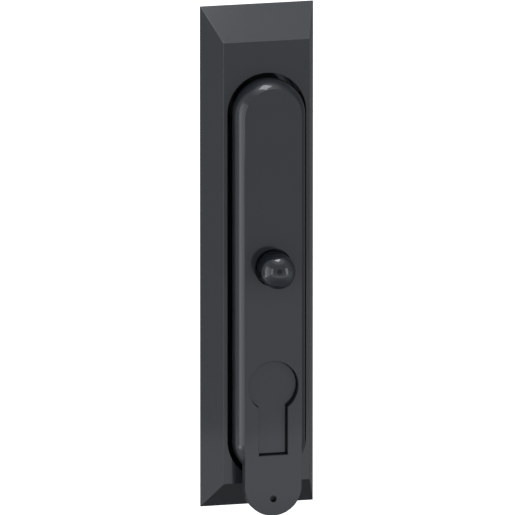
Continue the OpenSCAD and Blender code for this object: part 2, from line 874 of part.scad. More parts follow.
module button_stem() {
    color(STEEL) translate([0, 0, button_z]) difference() {
        union() {
            bar(stem_r - seat_gap, stem_tip, stem_back);
            bar(stem_flange_r, stem_front, stem_back);
            slab(stem_front, stem_back) band(key_hw, -key_drop, 0);
        }
        bar(spring_bore_r, spring_front, stem_back + past);
    }
}

// A tube of eight-sided rings swept along a helix about Y
module button_spring() {
    sides = 8;
    per_turn = 16;
    length = back_front - spring_front - 2 * wire_r - face_gap;
    rings = spring_turns * per_turn;
    function centre(i) = let (a = 360 * i / per_turn)
        [spring_r * cos(a), spring_front + face_gap / 2 + wire_r + length * i / rings, spring_r * sin(a)];
    points = [for (i = [0:rings], k = [0:sides - 1]) let (a = 360 * i / per_turn, b = 360 * k / sides)
        centre(i) + wire_r * [cos(b) * cos(a), sin(b), cos(b) * sin(a)]];
    walls = [for (i = [0:rings - 1], k = [0:sides - 1]) let (m = (k + 1) % sides)
        each [[i * sides + k, i * sides + m, (i + 1) * sides + m],
            [i * sides + k, (i + 1) * sides + m, (i + 1) * sides + k]]];
    start = [for (k = [sides - 1:-1:0]) k];
    end = [for (k = [0:sides - 1]) rings * sides + k];
    color(STEEL) translate([0, 0, button_z]) polyhedron(points, concat(walls, [start, end]));
}

housing();
gasket();
threaded_inserts();
spindle_bush();
buffers();
catch_spring();
catch_screw();
spindle();
spindle_seal();
wave_washer();
circlip();
stop_disc();
rod_cam();
rod_pins();
cam_washer();
cam_screw();
lever();
hinge_pin();
lever_back_plate();
plate_screws();
cylinder_blank();
blank_screws();
ball_knob();
button_stem();
button_spring();
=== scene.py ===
"""Swing-handle lock for an enclosure door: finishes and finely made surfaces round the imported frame.

Shapes are written in millimetres, in the frame's own axes: the door is the plane y = 0, the lock's front
looks along -Y and +Z is up. Blender's own units are metres.
"""

import json

from math import acos, asin, cos, hypot, pi, radians, sin, sqrt, tan

import bmesh
import bpy
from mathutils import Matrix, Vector


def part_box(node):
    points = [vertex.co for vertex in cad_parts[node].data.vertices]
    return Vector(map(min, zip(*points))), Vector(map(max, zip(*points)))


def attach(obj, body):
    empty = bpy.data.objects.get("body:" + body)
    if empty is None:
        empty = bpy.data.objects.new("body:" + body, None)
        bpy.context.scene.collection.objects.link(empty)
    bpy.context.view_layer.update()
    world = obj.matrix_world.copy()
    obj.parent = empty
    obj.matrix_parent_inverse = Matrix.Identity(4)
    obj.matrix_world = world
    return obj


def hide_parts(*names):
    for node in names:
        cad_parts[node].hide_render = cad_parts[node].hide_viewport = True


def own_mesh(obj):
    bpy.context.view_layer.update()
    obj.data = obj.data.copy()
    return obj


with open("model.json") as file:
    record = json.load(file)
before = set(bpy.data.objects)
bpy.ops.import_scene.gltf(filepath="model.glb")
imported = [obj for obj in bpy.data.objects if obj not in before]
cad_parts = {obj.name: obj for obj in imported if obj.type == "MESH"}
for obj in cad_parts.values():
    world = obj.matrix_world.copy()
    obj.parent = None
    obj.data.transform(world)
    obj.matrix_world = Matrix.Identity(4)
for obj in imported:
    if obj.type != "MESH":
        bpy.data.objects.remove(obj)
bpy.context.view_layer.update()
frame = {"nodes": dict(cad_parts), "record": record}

MM = 0.001

# Corners round large shapes, small shapes, screw heads and screw holes, and steps in a rounded edge
FINE = 128
PLAIN = 64
HEAD = 48
HOLE = 24
EDGE_STEPS = 8

# How far cutters pass a face, how deep joined shapes sink into each other, and the play of a bore
PAST = 1
SINK = 0.5
FIT = 0.02

# What counts as one point after a cut (in mm), in a new solid and in a CAD mesh (in metres), and the
# angles in degrees up to which faces count as flat and edges as smooth
CRUMB = 0.004
SAME_POINT = 1e-7
SAME_CAD_POINT = 1e-6
FLAT = 0.5
SMOOTH = 42

# Least and most that noise usually reaches
GRAIN_LEAST = 0.3
GRAIN_MOST = 0.7


def box_mm(node):
    """Lowest and highest corner of a node, in millimetres."""
    low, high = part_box(node)
    return low / MM, high / MM


# Housing
housing_low, housing_high = box_mm("housing")
HALF_W = housing_high.x
HALF_L = housing_high.z
FACE_Y = housing_low.y
BACK_Y = 0.0
RIM = 0.5
SIDE_BEVEL = 4.6
END_BEVEL = 10.2
SKIN = 2.0
FLOOR_Y = -3.0
RECESS_R = 13.4
UPPER_Z = 50.7
LOWER_Z = -60.0

# Fixing bosses, gasket groove and buffers
GASKET_DEPTH = -box_mm("gasket")[0].y
GASKET_INSET = 2.0
GASKET_W = 2.4
GROOVE_WALL = 1.2
FIX_Z = (71.0, -64.0)
INSERT_R = 3.5
INSERT_L = 8.0
THREAD_MINOR = 2.1
THREAD_MAJOR = 2.5
THREAD_PITCH = 0.8
BOSS_R = 5.5
BOSS_FRONT = -9.5
BUFFER_Z = 28.7
BUFFER_POST_R = 3.2
BUFFER_WALL = 1.2
BUFFER_FRONT = -13.7
BUFFER_BACK = -7.5
BUFFER_ROUND = 0.7
BUFFER_CORNERS = 96
RIB = 1.6

# Pad and screw hole under the foot of the catch spring
CATCH_FOOT_Z = -22.0
CATCH_PAD_HALF_W = 4.0
CATCH_PAD_FRONT = -5.0
CATCH_PAD_DOWN = 5.0
CATCH_PAD_UP = 2.75
CATCH_SCREW_R = 1.5
CATCH_HOLE_END = -1.5

# Bearing of the spindle
COLLAR_R = 9.4
COLLAR_FRONT = -6.0
BUSH_R = 7.0
FLANGE_FRONT = -7.0
WASHER_ROOM = 1.0
WASHER_IN = 5.2
WASHER_OUT = 6.5
WASHER_T = 0.4
WASHER_WAVE = 0.28
WASHER_WAVES = 3
BEARING_R = 10.0
BEARING_BACK = 9.0
RIM_BACK = 12.0
STOP_RIM_R = 8.2
STOP_GAP = (75.0, 195.0)

# Lever
lever_low, lever_high = box_mm("lever")
LEVER_Y = lever_low.y
LEVER_HALF_W = lever_high.x
LEVER_BACK = -13.8
FLANK_R = 7.56
FLANK_DEPTH = 5.4
FLANK_X = LEVER_HALF_W - FLANK_R
PLATE_HALF_W = FLANK_X + sqrt(FLANK_R**2 - FLANK_DEPTH**2)
PLATE_BACK = LEVER_Y + 3.7
COVER_FRONT = -15.0
CAVITY_R = 10.0
TONGUE_Z = -74.7
SEAL_HOLE_Z = -78.7
SEAL_HOLE_R = 1.05
PIN_Y = -16.55
PIN_R = 1.5
PIN_HALF = 9.7
PIN_END_GAP = 0.1
HINGE_RIB_IN = 5.15
HINGE_RIB_HALF_H = 4.2
HEAD_RELIEF = -19.95
HEAD_SLOT_HALF_H = 3.6
COVER_SCREWS = [(-7.0, 36.0), (7.0, 36.0), (-7.0, CATCH_FOOT_Z), (7.0, CATCH_FOOT_Z)]
COVER_SCREW_HEAD_R = 2.3
COVER_SCREW_HEAD_EDGE = 0.08
COVER_SCREW_R = 1.05
COVER_SCREW_DEPTH = 2.0
SCREW_TIP_GAP = 0.1
SCREW_CHAMFER = 0.3

# Cross in a screw head: its reach, half width and depth as shares of the head's radius
CROSS_REACH = 0.52
CROSS_HALF = 0.13
CROSS_DEPTH = 0.3

# Profile opening and the blank in it
PROFILE_R = 8.6
PROFILE_SLOT = 4.97
PROFILE_Z = -40.5
PROFILE_LOW = -63.8
BLANK_Y = LEVER_Y + 2.2
BLANK_BACK = PLATE_BACK + 1.4
BLANK_GAP = 0.2
BLANK_LIP = 0.9
BLANK_FLANGE_HALF_W = 8.8
BLANK_FLANGE_GAP = 0.3
BLANK_BOSS_R = 2.6
BLANK_BOSS_Z = -57.8
BLANK_BOSS_SCREW_TIP = 1.05
BLANK_SCREWS = [(x, z) for x in (-6.8, 6.8) for z in (-59.8, -49.8)]
BLANK_SCREW_HEAD_R = 1.9
BLANK_SCREW_HEAD_H = 1.3
BLANK_SCREW_DOME = 0.6
BLANK_SCREW_R = 1.0
BLANK_SCREW_DEPTH = 2.3
BLANK_HOLE_GAP = 0.1

# Button
BALL_R = 5.87
BALL_Y = -28.4
NECK_R = 5.4
NECK_BACK = PLATE_BACK + 0.05
STEM_R = 3.6
STEM_TIP = -24.8
GUIDE_R = 5.45
BUTTON_HOLE_R = 6.1
BUTTON_HOLE_BACK = LEVER_Y + 1.5
BUTTON_CHAMFER = 0.3
SPRING_R = 2.2
SPRING_WIRE = 0.3
SPRING_TURNS = 6
SPRING_FLAT = 0.1
TURN_STEPS = 32
WIRE_CORNERS = 16
spring_low, spring_high = box_mm("button_spring")

# Stage: lengths in metres, apart from the aim, which is in mm on the lock, and the sensor's width
AMBIENT = 0.9
WHITE = "#ffffff"
PAPER = "#f4f4f2"
LAMP_COLOUR = "#f6faff"
FLOOR_Z = -0.5
FLOOR_HALF = 4.0
FLOOR_GLOW = 0.55
CAMERA_DISTANCE = 6.0
CAMERA_TURN = -15.0
CAMERA_LIFT = 12.4
CAMERA_REACH = 50
SENSOR_W = 36
PHOTO_PIXELS = 515
PIXELS_PER_MM = 3.0085
FRAME_WIDTH = PHOTO_PIXELS / PIXELS_PER_MM * MM
AIM = (0.42, 0.0, -1.27)

# Name, turn, lift, distance, width, height and strength of each soft box
LAMPS = [
    ("overhead_lamp", 135, 86, 1.0, 22, 22, 7.6),
    ("left_lamp", 213, 8, 1.0, 13, 34, 2.2),
    ("left_fill", 180, 5, 1.0, 44, 44, 1.1),
    ("right_lamp", 312, 8, 1.0, 16, 36, 2.6),
    ("rear_lamp", 169, 0, 1.0, 14, 46, 0.5),
    ("rear_glow", 171, -5, 1.0, 32, 46, 0.3),
    ("rear_low_lamp", 163, -21, 1.0, 18, 6, 2.6),
    ("low_left_lamp", 144, -26, 0.37, 22, 9, 0.34),
    ("low_lamp", 270, -19, 0.37, 104, 12, 0.37),
    ("low_lamp_core", 268, -24.5, 0.36, 106, 6, 0.63),
]


def sheen(code):
    """Linear colour, with full alpha, of an sRGB hex code."""
    parts = [int(code[i : i + 2], 16) / 255 for i in (1, 3, 5)]
    linear = [c / 12.92 if c <= 0.04045 else ((c + 0.055) / 1.055) ** 2.4 for c in parts]
    return (*linear, 1.0)


def per_metre(size_mm):
    """Pattern scale at which one repeat is size_mm long on Object coordinates."""
    return 1 / (size_mm * MM)


def add_node(tree, kind, settings=None, inputs=None):
    """Adds a node with its properties, and its sockets as values or links."""
    node = tree.nodes.new(kind)
    for key, value in (settings or {}).items():
        setattr(node, key, value)
    for key, value in (inputs or {}).items():
        if isinstance(value, bpy.types.NodeSocket):
            tree.links.new(value, node.inputs[key])
        else:
            node.inputs[key].default_value = value
    return node


def maths(tree, operation, *values):
    """Result of a Math node on these values or links."""
    return add_node(tree, "ShaderNodeMath", {"operation": operation}, dict(enumerate(values))).outputs[0]


def mix_colours(tree, factor, first, last):
    """Colour that goes from one hex code to another as factor goes from 0 to 1."""
    inputs = {"Factor": factor, 6: sheen(first), 7: sheen(last)}
    return add_node(tree, "ShaderNodeMix", {"data_type": "RGBA"}, inputs).outputs[2]


# Finishes


def start_finish(name):
    """An empty material, its tree, and the place on the piece for its patterns."""
    material = bpy.data.materials.new(name)
    material.use_nodes = True
    tree = material.node_tree
    tree.nodes.clear()
    return material, tree, add_node(tree, "ShaderNodeTexCoord").outputs["Object"]


def grain(tree, place, size_mm, detail=2.0, stretch=(1, 1, 1)):
    """Noise whose lumps are about size_mm wide, drawn out along an axis where stretch is under 1."""
    laid = add_node(tree, "ShaderNodeMapping", {}, {"Vector": place, "Scale": stretch}).outputs[0]
    settings = {"Vector": laid, "Scale": per_metre(size_mm), "Detail": detail}
    return add_node(tree, "ShaderNodeTexNoise", {}, settings).outputs["Fac"]


def between(tree, factor, low, high):
    """Value that goes from low to high as the grain goes from its usual least to its usual most."""
    usual = {"From Min": GRAIN_LEAST, "From Max": GRAIN_MOST}
    inputs = {"Value": factor, **usual, "To Min": low, "To Max": high}
    return add_node(tree, "ShaderNodeMapRange", {}, inputs).outputs[0]


def tint(tree, factor, dark, light):
    """Colour that goes from one hex code to another with the grain."""
    return mix_colours(tree, between(tree, factor, 0, 1), dark, light)


def bumps(tree, height, depth_mm, strength=1.0):
    """Normal of a surface that the grain raises by up to depth_mm."""
    inputs = {"Height": height, "Distance": depth_mm * MM, "Strength": strength}
    return add_node(tree, "ShaderNodeBump", {}, inputs).outputs[0]


def end_finish(tree, inputs):
    """Ends a material with one shader that has these inputs."""
    shader = add_node(tree, "ShaderNodeBsdfPrincipled", {}, inputs).outputs[0]
    add_node(tree, "ShaderNodeOutputMaterial", {}, {"Surface": shader})


def powder_coat():
    """Black powder coat on die-cast zinc: a satin body under a thin levelled skin.

    The body gives a broad sheen, which fades in corners; the skin adds mirror images and a faint
    orange peel.
    """
    material, tree, place = start_finish("gloss_black_powder_coat")
    peel = grain(tree, place, 1.1, 1.0)
    cloud = grain(tree, place, 14, 2.0)
    end_finish(tree, {
        "Base Color": tint(tree, cloud, "#14171b", "#181b1f"),
        "Roughness": between(tree, cloud, 0.5, 0.56),
        "IOR": 1.5,
        "Specular IOR Level": 0.2,
        "Coat Weight": 0.62,
        "Coat Roughness": between(tree, cloud, 0.08, 0.1),
        "Coat IOR": 1.5,
        "Normal": bumps(tree, peel, 0.0008),
    })
    return material


def knob_lacquer():
    """Black lacquer over a turned ball, polished to a wet look."""
    material, tree, place = start_finish("polished_black_lacquer")
    cloud = grain(tree, place, 5, 2.0)
    end_finish(tree, {
        "Base Color": tint(tree, cloud, "#15181c", "#191c20"),
        "Roughness": between(tree, cloud, 0.08, 0.11),
        "IOR": 1.5,
    })
    return material


def moulded_rubber():
    """Black nitrile rubber, moulded: matt, with a fine skin."""
    material, tree, place = start_finish("moulded_black_rubber")
    skin = grain(tree, place, 0.35, 3.0)
    bloom = grain(tree, place, 6, 3.0)
    end_finish(tree, {
        "Base Color": tint(tree, bloom, "#19191a", "#222223"),
        "Roughness": between(tree, bloom, 0.55, 0.7),
        "Specular IOR Level": 0.35,
        "Normal": bumps(tree, skin, 0.02, 0.6),
    })
    return material


def turned_brass():
    """Free-cutting brass, turned: warm and bright, with fine tool marks."""
    material, tree, place = start_finish("turned_brass")
    marks = grain(tree, place, 0.3, 2.0, (1, 6, 1))
    cloud = grain(tree, place, 5, 2.0)
    end_finish(tree, {
        "Base Color": tint(tree, cloud, "#b8924a", "#d0ab62"),
        "Metallic": 1.0,
        "Roughness": between(tree, marks, 0.22, 0.36),
        "Normal": bumps(tree, marks, 0.008, 0.5),
    })
    return material


def zinc_plate():
    """Steel with bright zinc plate: cool grey with a cloudy, slightly yellow passivation."""
    material, tree, place = start_finish("bright_zinc_plate")
    cloud = grain(tree, place, 7, 3.0)
    speckle = grain(tree, place, 0.5, 2.0)
    end_finish(tree, {
        "Base Color": tint(tree, cloud, "#b3b8be", "#c9c7bb"),
        "Metallic": 1.0,
        "Roughness": between(tree, cloud, 0.24, 0.38),
        "Normal": bumps(tree, speckle, 0.01, 0.5),
    })
    return material


def spring_steel():
    """Hardened and tempered spring steel: darker, with drawn lines along its length."""
    material, tree, place = start_finish("tempered_spring_steel")
    lines = grain(tree, place, 0.4, 2.0, (3, 1, 0.25))
    end_finish(tree, {
        "Base Color": tint(tree, lines, "#84888e", "#9b9ea3"),
        "Metallic": 1.0,
        "Roughness": between(tree, lines, 0.2, 0.34),
        "Normal": bumps(tree, lines, 0.006, 0.5),
    })
    return material


def rolled_sheet():
    """Cold-rolled steel sheet: satin, with rolling lines along the lever."""
    material, tree, place = start_finish("cold_rolled_sheet")
    lines = grain(tree, place, 0.35, 3.0, (1, 1, 0.04))
    end_finish(tree, {
        "Base Color": tint(tree, lines, "#a2a6aa", "#b9bbbd"),
        "Metallic": 1.0,
        "Roughness": between(tree, lines, 0.3, 0.44),
        "Normal": bumps(tree, lines, 0.006, 0.5),
    })
    return material


FINISHES = {
    "black_coat": powder_coat(),
    "knob_gloss": knob_lacquer(),
    "black_rubber": moulded_rubber(),
    "brass": turned_brass(),
    "zinc_plated_steel": zinc_plate(),
    "spring_steel": spring_steel(),
    "back_plate_steel": rolled_sheet(),
}
SLOT_OF = {part["node"]: part["material_slot"] for part in frame["record"]["subparts"]}
BODIES = frame["record"]["behaviour"]["bodies"]
BODY_OF = {node: body for body, nodes in BODIES.items() for node in nodes}


# Rings of points in millimetres, and solids through them


def sweep(first, last, steps):
    """Angles from first to last in equal steps."""
    return [first + (last - first) * i / steps for i in range(steps + 1)]


def round_ring(r, y, x=0.0, z=0.0, count=FINE):
    """A circle square to Y."""
    return [(x + r * cos(2 * pi * i / count), y, z + r * sin(2 * pi * i / count)) for i in range(count)]


def long_ring(r, y, z_low, z_high, count=FINE):
    """A ring with two straight sides and round ends."""
    half = count // 2
    ends = [(0, z_high), (pi, z_low)]
    return [
        (r * cos(start + pi * i / half), y, z + r * sin(start + pi * i / half))
        for start, z in ends
        for i in range(half + 1)
    ]


def box_ring(half_w, z_low, z_high, y, x=0.0):
    """A rectangle."""
    left, right = x - half_w, x + half_w
    return [(right, y, z_high), (left, y, z_high), (left, y, z_low), (right, y, z_low)]


def soft_box_ring(half_w, half_l, r, y, count=PLAIN):
    """A rectangle with round corners."""
    quarter = count // 4
    corners = [(1, 1, 0), (-1, 1, 1), (-1, -1, 2), (1, -1, 3)]
    return [
        (
            sx * (half_w - r) + r * cos(pi / 2 * (turn + i / quarter)),
            y,
            sz * (half_l - r) + r * sin(pi / 2 * (turn + i / quarter)),
        )
        for sx, sz, turn in corners
        for i in range(quarter + 1)
    ]


def keyhole_ring(grow, y, count=FINE):
    """The outline of the profile opening, made larger all round by grow."""
    r = PROFILE_R + grow
    slot = PROFILE_SLOT + grow
    start = -acos(slot / r)
    sweep = pi - 2 * start
    arc = [start + sweep * i / count for i in range(count + 1)]
    top = [(r * cos(a), y, PROFILE_Z + r * sin(a)) for a in arc]
    return top + [(-slot, y, PROFILE_LOW - grow), (slot, y, PROFILE_LOW - grow)]


def new_piece(name, bm):
    """An object in the scene with this mesh."""
    mesh = bpy.data.meshes.new(name)
    bm.to_mesh(mesh)
    bm.free()
    piece = bpy.data.objects.new(name, mesh)
    bpy.context.scene.collection.objects.link(piece)
    return piece


def through(name, rings, closed=False):
    """A solid through rings of equal length, capped at both ends, or joined end to start."""
    bm = bmesh.new()
    loops = [[bm.verts.new(Vector(p) * MM) for p in ring] for ring in rings]
    pairs = list(zip(loops, loops[1:] + loops[:1])) if closed else list(zip(loops, loops[1:]))
    for near, far in pairs:
        for i in range(len(near)):
            j = (i + 1) % len(near)
            bm.faces.new((near[i], near[j], far[j], far[i]))
    if not closed:
        bm.faces.new(loops[0])
        bm.faces.new(list(reversed(loops[-1])))
    bmesh.ops.remove_doubles(bm, verts=bm.verts, dist=SAME_POINT)
    bmesh.ops.recalc_face_normals(bm, faces=bm.faces)
    return new_piece(name, bm)


def turned(name, profile, x=0.0, z=0.0, closed=False, count=FINE):
    """A piece turned about Y, through a profile of (radius, y)."""
    return through(name, [round_ring(r, y, x, z, count) for r, y in profile], closed)


def long_plate(r, y_front, y_back, z_low=LOWER_Z, z_high=UPPER_Z):
    """A plate with two straight sides and round ends."""
    return through("plate", [long_ring(r, y_front, z_low, z_high), long_ring(r, y_back, z_low, z_high)])


def keyhole_plate(grow, y_front, y_back):
    """A plate with the outline of the profile opening."""
    return through("keyhole", [keyhole_ring(grow, y) for y in (y_front, y_back)])


def post(r, y_front, y_back, x=0.0, z=0.0, count=PLAIN):
    """A round bar along Y."""
    return turned("post", [(r, y_front), (r, y_back)], x, z, count=count)


def block(x, y, z):
    """A box between two limits along each axis."""
    half_w = (x[1] - x[0]) / 2
    middle = (x[1] + x[0]) / 2
    return through("block", [box_ring(half_w, z[0], z[1], face, middle) for face in y])


def cross_bar(r, half_l, y, z, count=PLAIN):
    """A round bar along X."""
    rings = [
        [(x, y + r * cos(2 * pi * i / count), z + r * sin(2 * pi * i / count)) for i in range(count)]
        for x in (-half_l, half_l)
    ]
    return through("cross_bar", rings)


def bake(piece):
    """Applies the piece's modifiers to its mesh."""
    graph = bpy.context.evaluated_depsgraph_get()
    mesh = bpy.data.meshes.new_from_object(piece.evaluated_get(graph), depsgraph=graph)
    piece.modifiers.clear()
    piece.data = mesh


def tidy(piece):
    """Merges the crumbs that a cut leaves, so that edges can be rounded evenly."""
    bm = bmesh.new()
    bm.from_mesh(piece.data)
    bmesh.ops.remove_doubles(bm, verts=bm.verts, dist=CRUMB * MM)
    bmesh.ops.dissolve_degenerate(bm, edges=bm.edges, dist=CRUMB * MM)
    bm.to_mesh(piece.data)
    bm.free()


def combine(piece, tools, operation):
    """Changes the piece by each tool in turn, and removes the tools."""
    for tool in tools:
        change = piece.modifiers.new("change", "BOOLEAN")
        change.operation = operation
        change.solver = "EXACT"
        change.object = tool
    bake(piece)
    tidy(piece)
    for tool in tools:
        bpy.data.objects.remove(tool)
    return piece


def cut(piece, *tools):
    """Takes the tools away from the piece."""
    return combine(piece, tools, "DIFFERENCE")


def fuse(piece, *tools):
    """Adds the tools to the piece."""
    return combine(piece, tools, "UNION")


def keep_inside(piece, *tools):
    """Keeps what lies inside the piece and the tools."""
    return combine(piece, tools, "INTERSECT")


def cad_copy(node):
    """A copy of a node's mesh with its loose triangles merged and its flat faces made whole."""
    bm = bmesh.new()
    bm.from_mesh(frame["nodes"][node].data)
    bmesh.ops.remove_doubles(bm, verts=bm.verts, dist=SAME_CAD_POINT)
    bmesh.ops.dissolve_limit(bm, angle_limit=radians(FLAT), verts=bm.verts, edges=bm.edges)
    return new_piece(node, bm)


def finish(piece, node, edge=0.15, steps=2, even=True, least=32):
    """Rounds the edges over least degrees, gives the finish, and puts the piece in the node's place."""
    if edge:
        rounding = piece.modifiers.new("edge", "BEVEL")
        rounding.limit_method = "ANGLE"
        rounding.angle_limit = radians(least)
        rounding.width = edge * MM
        rounding.segments = steps
        rounding.use_clamp_overlap = not even
        rounding.loop_slide = False
        bake(piece)
    piece.data.polygons.foreach_set("use_smooth", [True] * len(piece.data.polygons))
    piece.data.set_sharp_from_angle(angle=radians(SMOOTH))
    shading = piece.modifiers.new("shading", "WEIGHTED_NORMAL")
    shading.keep_sharp = True
    bake(piece)
    piece.name = node + "_made"
    piece.data.materials.clear()
    piece.data.materials.append(FINISHES[SLOT_OF[node]])
    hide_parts(node)
    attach(piece, BODY_OF[node])
    return piece


# Housing


def casting(inset, back):
    """The bevelled block with its sloping faces moved inwards by inset."""
    rise = -FACE_Y - RIM
    top = FACE_Y + inset
    half_w = HALF_W - inset * hypot(SIDE_BEVEL, rise) / rise
    half_l = HALF_L - inset * hypot(END_BEVEL, rise) / rise
    share = (-top - RIM) / rise
    top_w = half_w - SIDE_BEVEL * share
    top_l = half_l - END_BEVEL * share
    rings = [
        box_ring(half_w, -half_l, half_l, back),
        box_ring(half_w, -half_l, half_l, -RIM),
        box_ring(top_w, -top_l, top_l, top),
    ]
    return through("casting", rings)


def core():
    """What is left hollow behind the face, above and below the recess."""
    core_w = HALF_W - GASKET_INSET - GASKET_W - GROOVE_WALL
    core_l = HALF_L - GASKET_INSET - GASKET_W - GROOVE_WALL
    hollows = [
        block((-core_w, core_w), (FACE_Y, PAST), (UPPER_Z, core_l)),
        block((-core_w, core_w), (FACE_Y, PAST), (-core_l, LOWER_Z)),
    ]
    inside = fuse(*hollows)
    keep_inside(inside, casting(SKIN, PAST))
    limits = (FACE_Y - PAST, 2 * PAST)
    walls = [
        long_plate(RECESS_R + SKIN, *limits),
        post(BOSS_R, *limits, z=FIX_Z[0]),
        block((-HALF_W, HALF_W), limits, (FIX_Z[0] - RIB / 2, FIX_Z[0] + RIB / 2)),
        block((-RIB / 2, RIB / 2), limits, (FIX_Z[0], HALF_L)),
        block((-RIB / 2, RIB / 2), limits, (-HALF_L, LOWER_Z)),
    ]
    return cut(inside, *walls)


def bearing():
    """The bearing boss and the rim behind it, open where the stop disc's lug moves."""
    boss = turned("boss", [
        (BEARING_R, -SINK),
        (BEARING_R, RIM_BACK),
        (STOP_RIM_R, RIM_BACK),
        (STOP_RIM_R, BEARING_BACK),
        (BUSH_R + FIT, BEARING_BACK),
        (BUSH_R + FIT, -SINK),
    ], z=UPPER_Z, closed=True)
    first, last = (radians(a) for a in STOP_GAP)
    arc = sweep(first, last, 2 * EDGE_STEPS)
    reach = 2 * BEARING_R
    gap = [
        [(0, y, UPPER_Z)] + [(reach * cos(a), y, UPPER_Z + reach * sin(a)) for a in arc]
        for y in (BEARING_BACK, RIM_BACK + PAST)
    ]
    return cut(boss, through("gap", gap))


def gasket_band(grow, y_front, y_back):
    """The rounded band that the groove and the gasket share, made wider by grow on each side."""
    out_w = HALF_W - GASKET_INSET + grow
    out_l = HALF_L - GASKET_INSET + grow
    in_w = out_w - GASKET_W - 2 * grow
    in_l = out_l - GASKET_W - 2 * grow
    r = GASKET_W + grow
    rings = [
        soft_box_ring(out_w, out_l, r, y_front),
        soft_box_ring(out_w, out_l, r, y_back),
        soft_box_ring(in_w, in_l, GASKET_W / 2, y_back),
        soft_box_ring(in_w, in_l, GASKET_W / 2, y_front),
    ]
    return through("band", rings, closed=True)


def make_housing():
    """The casting with its recess and groove, and all that stands on the recess floor."""
    piece = casting(0, BACK_Y)
    recess = long_plate(RECESS_R, FACE_Y - PAST, FLOOR_Y)
    cut(piece, recess, core(), gasket_band(0, -GASKET_DEPTH, PAST))
    root = FLOOR_Y + SINK
    pad_z = (CATCH_FOOT_Z - CATCH_PAD_DOWN, CATCH_FOOT_Z + CATCH_PAD_UP)
    pad = block((-CATCH_PAD_HALF_W, CATCH_PAD_HALF_W), (CATCH_PAD_FRONT, root), pad_z)
    fuse(
        piece,
        turned("collar", [(COLLAR_R, COLLAR_FRONT), (COLLAR_R, root)], z=UPPER_Z),
        bearing(),
        post(BOSS_R, BOSS_FRONT, root, z=FIX_Z[1]),
        post(BUFFER_POST_R, BOSS_FRONT, root, z=BUFFER_Z),
        pad,
    )
    bores = [post(INSERT_R + FIT, -INSERT_L, PAST, z=z) for z in FIX_Z]
    cut(
        piece,
        post(BUSH_R + FIT, FACE_Y, BEARING_BACK + PAST, z=UPPER_Z, count=FINE),
        post(CATCH_SCREW_R + FIT, FACE_Y, CATCH_HOLE_END, z=CATCH_FOOT_Z),
        *bores,
    )
    return finish(piece, "housing", edge=0.16, steps=3)


make_housing()
finish(gasket_band(-FIT, -GASKET_DEPTH, BACK_Y), "gasket", edge=0.4, steps=3)


# Lever


def lever_body():
    """The flat plate with its tongue, and the rounded rim that stands round its hollow."""
    steps = 14
    first = asin(FLANK_DEPTH / FLANK_R)
    flank = [first * (1 - i / steps) for i in range(steps + 1)]
    centre_y = LEVER_Y + FLANK_DEPTH
    outside = [(FLANK_X + FLANK_R * cos(a), centre_y - FLANK_R * sin(a)) for a in flank]
    sink = 2 * SINK
    inside = [(CAVITY_R, LEVER_BACK), (CAVITY_R, PLATE_BACK), (PLATE_HALF_W - sink, PLATE_BACK - sink)]
    profile = outside + [(LEVER_HALF_W, LEVER_BACK)] + inside
    rim = through("rim", [long_ring(r, y, LOWER_Z, UPPER_Z) for r, y in profile], closed=True)
    return fuse(long_plate(PLATE_HALF_W, LEVER_Y, PLATE_BACK, TONGUE_Z), rim)


def button_opening():
    """Cutter for the stepped opening round the button, with its chamfer."""
    return turned("opening", [
        (BUTTON_HOLE_R + PAST + BUTTON_CHAMFER, LEVER_Y - PAST),
        (BUTTON_HOLE_R, LEVER_Y + BUTTON_CHAMFER),
        (BUTTON_HOLE_R, BUTTON_HOLE_BACK),
        (GUIDE_R, BUTTON_HOLE_BACK),
        (GUIDE_R, PLATE_BACK + PAST),
    ])


def hinge_slots():
    """Cutters for the spindle's head, the hinge pin, and the way the pin goes in from behind."""
    half_h = PIN_R + FIT
    half_w = PIN_HALF + PIN_END_GAP
    head_z = (UPPER_Z - HEAD_SLOT_HALF_H, UPPER_Z + HEAD_SLOT_HALF_H)
    return [
        block((-HINGE_RIB_IN, HINGE_RIB_IN), (HEAD_RELIEF, PLATE_BACK + PAST), head_z),
        cross_bar(half_h, half_w, PIN_Y, UPPER_Z),
        block((-half_w, half_w), (PIN_Y, COVER_FRONT + PAST), (UPPER_Z - half_h, UPPER_Z + half_h)),
    ]


def make_lever():
    """The lever with its hinge ribs, screw posts and openings."""
    piece = lever_body()
    root = PLATE_BACK - SINK
    inside = [post(COVER_SCREW_HEAD_R, root, COVER_FRONT, x, z) for x, z in COVER_SCREWS]
    for side in (-1, 1):
        limits = sorted((side * HINGE_RIB_IN, side * (CAVITY_R + SINK)))
        high = (UPPER_Z - HINGE_RIB_HALF_H, UPPER_Z + HINGE_RIB_HALF_H)
        inside.append(block(limits, (root, COVER_FRONT), high))
    fuse(piece, *inside)
    back = PLATE_BACK + PAST
    cover_end = PLATE_BACK - COVER_SCREW_DEPTH - SCREW_TIP_GAP
    blank_end = PLATE_BACK - BLANK_SCREW_DEPTH - SCREW_TIP_GAP
    cut(
        piece,
        *hinge_slots(),
        button_opening(),
        keyhole_plate(0, LEVER_Y - PAST, back),
        post(SEAL_HOLE_R, LEVER_Y - PAST, back, z=SEAL_HOLE_Z),
        *[post(COVER_SCREW_R, cover_end, COVER_FRONT + PAST, x, z, HOLE) for x, z in COVER_SCREWS],
        *[post(BLANK_SCREW_R, blank_end, back, x, z, HOLE) for x, z in BLANK_SCREWS],
    )
    return finish(piece, "lever", edge=0.2, steps=3, least=50)


